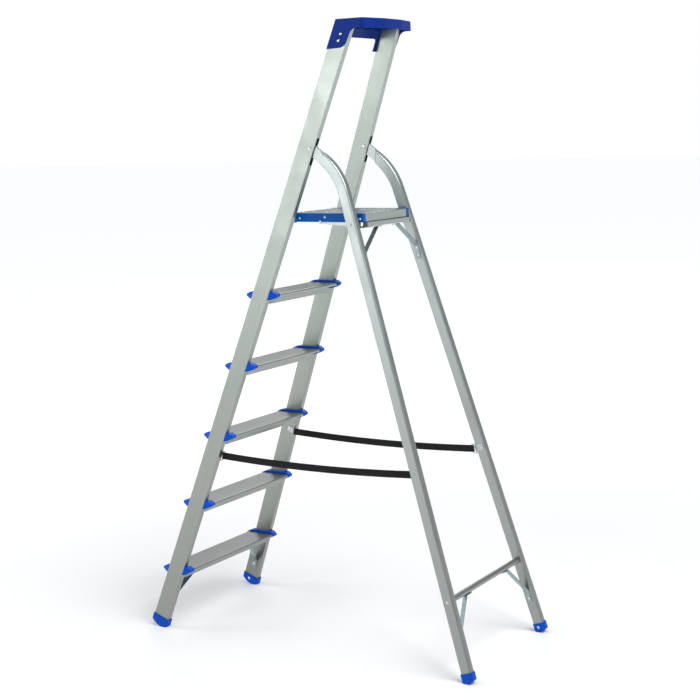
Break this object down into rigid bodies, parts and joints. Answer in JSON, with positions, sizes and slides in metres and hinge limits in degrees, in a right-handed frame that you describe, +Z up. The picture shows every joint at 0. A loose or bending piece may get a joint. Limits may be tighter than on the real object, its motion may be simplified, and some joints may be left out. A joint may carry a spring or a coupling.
{
  "type": "platform step ladder",
  "caption": "Folding aluminium step ladder with ribbed treads, a platform, a moulded tool tray, and a rear frame linked so that the platform tips up as the legs close.",
  "frame": {"origin": "on the floor, midway between the outermost points of the four feet", "axes": "+Z up, +X to the right across the ladder, +Y the way a climber faces; the tread side is -Y"},
  "size_m": [0.55, 1.202, 1.956],
  "materials": {
    "stile_aluminium": "extruded, satin",
    "leg_aluminium": "drawn tube, satin",
    "tread_aluminium": "extruded, ribbed",
    "blue_plastic": "moulded, fine texture",
    "tray_plastic": "moulded, satin",
    "side_plastic": "moulded, satin",
    "galvanised_steel": "zinc plated, light spangle",
    "zinc_steel": "zinc plated",
    "rivet_aluminium": "bright",
    "webbing": "woven strap"
  },
  "bodies": {
    "front_frame": {"stile_right": "stile_aluminium", "stile_left": "stile_aluminium", "foot_front_right": "blue_plastic", "foot_front_left": "blue_plastic", "tread_1": "tread_aluminium", "tread_2": "tread_aluminium", "tread_3": "tread_aluminium", "tread_4": "tread_aluminium", "tread_5": "tread_aluminium", "tread_cap_1_right": "blue_plastic", "tread_cap_1_left": "blue_plastic", "tread_cap_2_right": "blue_plastic", "tread_cap_2_left": "blue_plastic", "tread_cap_3_right": "blue_plastic", "tread_cap_3_left": "blue_plastic", "tread_cap_4_right": "blue_plastic", "tread_cap_4_left": "blue_plastic", "tread_cap_5_right": "blue_plastic", "tread_cap_5_left": "blue_plastic", "tread_brace_right": "galvanised_steel", "tread_brace_left": "galvanised_steel", "top_tray": "tray_plastic", "leg_pivot_pin_right": "zinc_steel", "leg_pivot_pin_left": "zinc_steel", "platform_pin_right": "zinc_steel", "platform_pin_left": "zinc_steel", "platform_bush_right": "side_plastic", "platform_bush_left": "side_plastic", "strap_ring_front_right": "zinc_steel", "strap_ring_front_left": "zinc_steel", "strap_clip_front_right": "zinc_steel", "strap_clip_front_left": "zinc_steel", "strap_right": "webbing", "strap_left": "webbing", "rivets_front": "rivet_aluminium"},
    "rear_frame": {"rear_leg_right": "leg_aluminium", "rear_leg_left": "leg_aluminium", "foot_rear_right": "blue_plastic", "foot_rear_left": "blue_plastic", "lower_crossbar": "leg_aluminium", "upper_cross_member": "leg_aluminium", "lower_brace_right": "galvanised_steel", "lower_brace_left": "galvanised_steel", "upper_stay_right": "galvanised_steel", "upper_stay_left": "galvanised_steel", "strap_ring_rear_right": "zinc_steel", "strap_ring_rear_left": "zinc_steel", "strap_clip_rear_right": "zinc_steel", "strap_clip_rear_left": "zinc_steel", "link_pin_right": "zinc_steel", "link_pin_left": "zinc_steel", "link_spacers": "zinc_steel", "rivets_rear": "rivet_aluminium"},
    "platform": {"platform_panel": "tread_aluminium", "platform_side_right": "side_plastic", "platform_side_left": "side_plastic", "rivets_platform": "rivet_aluminium"},
    "side_link_right": {"link_right": "zinc_steel"},
    "side_link_left": {"link_left": "zinc_steel"}
  },
  "joints": [
    {"name": "rear_frame_fold", "type": "hinge", "parent": "front_frame", "child": "rear_frame", "pos_m": [0, 0.0251, 1.573], "axis": [-1, 0, 0], "range_deg": [0, 37.6], "deforming": ["strap_right", "strap_left"]},
    {"name": "platform_fold", "type": "hinge", "parent": "front_frame", "child": "platform", "pos_m": [0, -0.05343, 1.355], "axis": [1, 0, 0], "range_deg": [0, 70]},
    {"name": "link_fold_right", "type": "hinge", "parent": "platform", "child": "side_link_right", "pos_m": [0, 0.03477, 1.3509], "axis": [-1, 0, 0], "range_deg": [0, 149]},
    {"name": "link_fold_left", "type": "hinge", "parent": "platform", "child": "side_link_left", "pos_m": [0, 0.03477, 1.3509], "axis": [-1, 0, 0], "range_deg": [0, 149]}
  ],
  "couplings": [
    {"joint": "platform_fold", "follows": "rear_frame_fold", "ratio": 1.8511},
    {"joint": "link_fold_right", "follows": "rear_frame_fold", "ratio": 3.953},
    {"joint": "link_fold_left", "follows": "rear_frame_fold", "ratio": 3.953}
  ]
}
